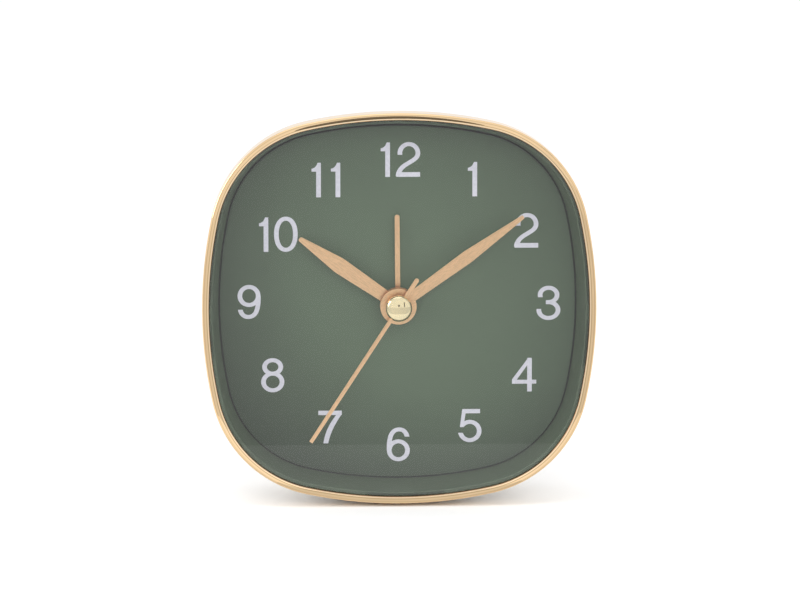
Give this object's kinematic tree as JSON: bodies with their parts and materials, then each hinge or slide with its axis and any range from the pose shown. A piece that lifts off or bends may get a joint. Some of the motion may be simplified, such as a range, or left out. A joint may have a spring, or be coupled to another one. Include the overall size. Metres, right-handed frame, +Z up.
{
  "type": "pendulette alarm clock",
  "caption": "Small rounded-square quartz alarm clock on a low foot, with hour, minute, second and alarm hands, plain numerals, gold bezel, lens and rear setting knobs.",
  "frame": {"origin": "the middle of the clock's bounding box, on the surface that it stands on", "axes": "+X to the right and +Z up as seen from the front, +Y from the lens to the knobs at the back"},
  "size_m": [0.09, 0.0354, 0.0907],
  "materials": {
    "gold_metal": "polished pale gold anodised",
    "clear_lens": "clear polished acrylic",
    "green_ring": "satin grey-green paint",
    "green_dial": "matt grey-green paint",
    "black_plastic": "matt",
    "ivory_plastic": "semi-gloss moulded, off-white",
    "ivory_cover": "fine spark texture, off-white",
    "ivory_door": "fine spark texture, off-white",
    "ivory_switch": "satin",
    "ivory_knob": "satin",
    "rubber": "matt",
    "screw_steel": "zinc plated",
    "battery_jacket": "printed foil jacket, plain",
    "nickel": "nickel plated",
    "movement_plastic": "moulded polystyrene",
    "rose_hand": "satin rose gold",
    "gold_cap": "polished pale gold plate",
    "white_gear": "moulded acetal",
    "magnet_black": "ground ferrite in acetal",
    "soft_iron": "annealed sheet",
    "copper": "enamelled copper wire",
    "board_green": "solder resist",
    "black_resin": "epoxy drop",
    "spring_bronze": "bright",
    "brass": "satin"
  },
  "bodies": {
    "case": {"bezel": "gold_metal", "lens": "clear_lens", "dial_ring": "green_ring", "dial": "green_dial", "dial_carrier": "black_plastic", "case_shell": "ivory_plastic", "rubber_feet": "rubber", "rear_cover": "ivory_cover", "cover_screws": "screw_steel", "battery_tray": "black_plastic", "battery": "battery_jacket", "positive_contact": "nickel", "negative_contact": "nickel", "movement_front": "movement_plastic", "movement_plate": "movement_plastic", "movement_back": "movement_plastic", "movement_screws": "screw_steel", "stator": "soft_iron", "coil_core": "soft_iron", "coil_bobbin": "black_plastic", "coil_winding": "copper", "circuit_board": "board_green", "control_chip": "black_resin", "quartz_crystal": "nickel", "alarm_contact": "spring_bronze", "buzzer": "brass"},
    "minutes": {"cannon_pinion": "white_gear", "minute_hand": "rose_hand"},
    "minute_wheel": {"minute_wheel": "white_gear", "time_knob": "ivory_knob"},
    "hours": {"hour_wheel": "white_gear", "hour_hand": "rose_hand"},
    "alarm": {"alarm_wheel": "white_gear", "alarm_hand": "rose_hand"},
    "alarm_setting": {"alarm_arbor": "white_gear", "alarm_knob": "ivory_knob"},
    "seconds": {"second_wheel": "white_gear", "second_hand": "rose_hand", "hand_cap": "gold_cap"},
    "drive": {"drive_wheel": "white_gear"},
    "rotor": {"rotor": "magnet_black"},
    "third": {"third_wheel": "white_gear"},
    "centre": {"centre_wheel": "white_gear"},
    "switch": {"alarm_switch": "ivory_switch"},
    "door": {"battery_door": "ivory_door"}
  },
  "joints": [
    {"name": "minute_spin", "type": "hinge", "parent": "case", "child": "minutes", "pos_m": [0, 0, 0.0454], "axis": [0, 1, 0], "continuous": true},
    {"name": "time_setting_spin", "type": "hinge", "parent": "case", "child": "minute_wheel", "pos_m": [-0.00953, 0, 0.0509], "axis": [0, 1, 0], "continuous": true},
    {"name": "hour_spin", "type": "hinge", "parent": "case", "child": "hours", "pos_m": [0, 0, 0.0454], "axis": [0, 1, 0], "continuous": true},
    {"name": "alarm_spin", "type": "hinge", "parent": "case", "child": "alarm", "pos_m": [0, 0, 0.0454], "axis": [0, 1, 0], "continuous": true},
    {"name": "alarm_setting_spin", "type": "hinge", "parent": "case", "child": "alarm_setting", "pos_m": [0.00953, 0, 0.0509], "axis": [0, 1, 0], "continuous": true},
    {"name": "second_spin", "type": "hinge", "parent": "case", "child": "seconds", "pos_m": [0, 0, 0.0454], "axis": [0, 1, 0], "continuous": true},
    {"name": "drive_spin", "type": "hinge", "parent": "case", "child": "drive", "pos_m": [-0.00767, 0, 0.04003], "axis": [0, 1, 0], "continuous": true},
    {"name": "rotor_spin", "type": "hinge", "parent": "case", "child": "rotor", "pos_m": [-0.01397, 0, 0.04003], "axis": [0, 1, 0], "continuous": true},
    {"name": "third_spin", "type": "hinge", "parent": "case", "child": "third", "pos_m": [0, 0, 0.05458], "axis": [0, 1, 0], "continuous": true},
    {"name": "centre_spin", "type": "hinge", "parent": "case", "child": "centre", "pos_m": [0, 0, 0.0454], "axis": [0, 1, 0], "continuous": true},
    {"name": "alarm_switch_slide", "type": "slide", "parent": "case", "child": "switch", "axis": [0, 0, 1], "range_m": [0, 0.003]},
    {"name": "battery_door_hinge", "type": "hinge", "parent": "case", "child": "door", "pos_m": [0, 0.01405, 0.0156], "axis": [-1, 0, 0], "range_deg": [0, 75]}
  ],
  "couplings": [
    {"joint": "time_setting_spin", "follows": "minute_spin", "ratio": -0.33333},
    {"joint": "hour_spin", "follows": "minute_spin", "ratio": 0.083333},
    {"joint": "alarm_setting_spin", "follows": "alarm_spin", "ratio": -3},
    {"joint": "drive_spin", "follows": "second_spin", "ratio": -5},
    {"joint": "rotor_spin", "follows": "second_spin", "ratio": 30},
    {"joint": "third_spin", "follows": "second_spin", "ratio": -0.13333},
    {"joint": "centre_spin", "follows": "second_spin", "ratio": 0.016667}
  ]
}
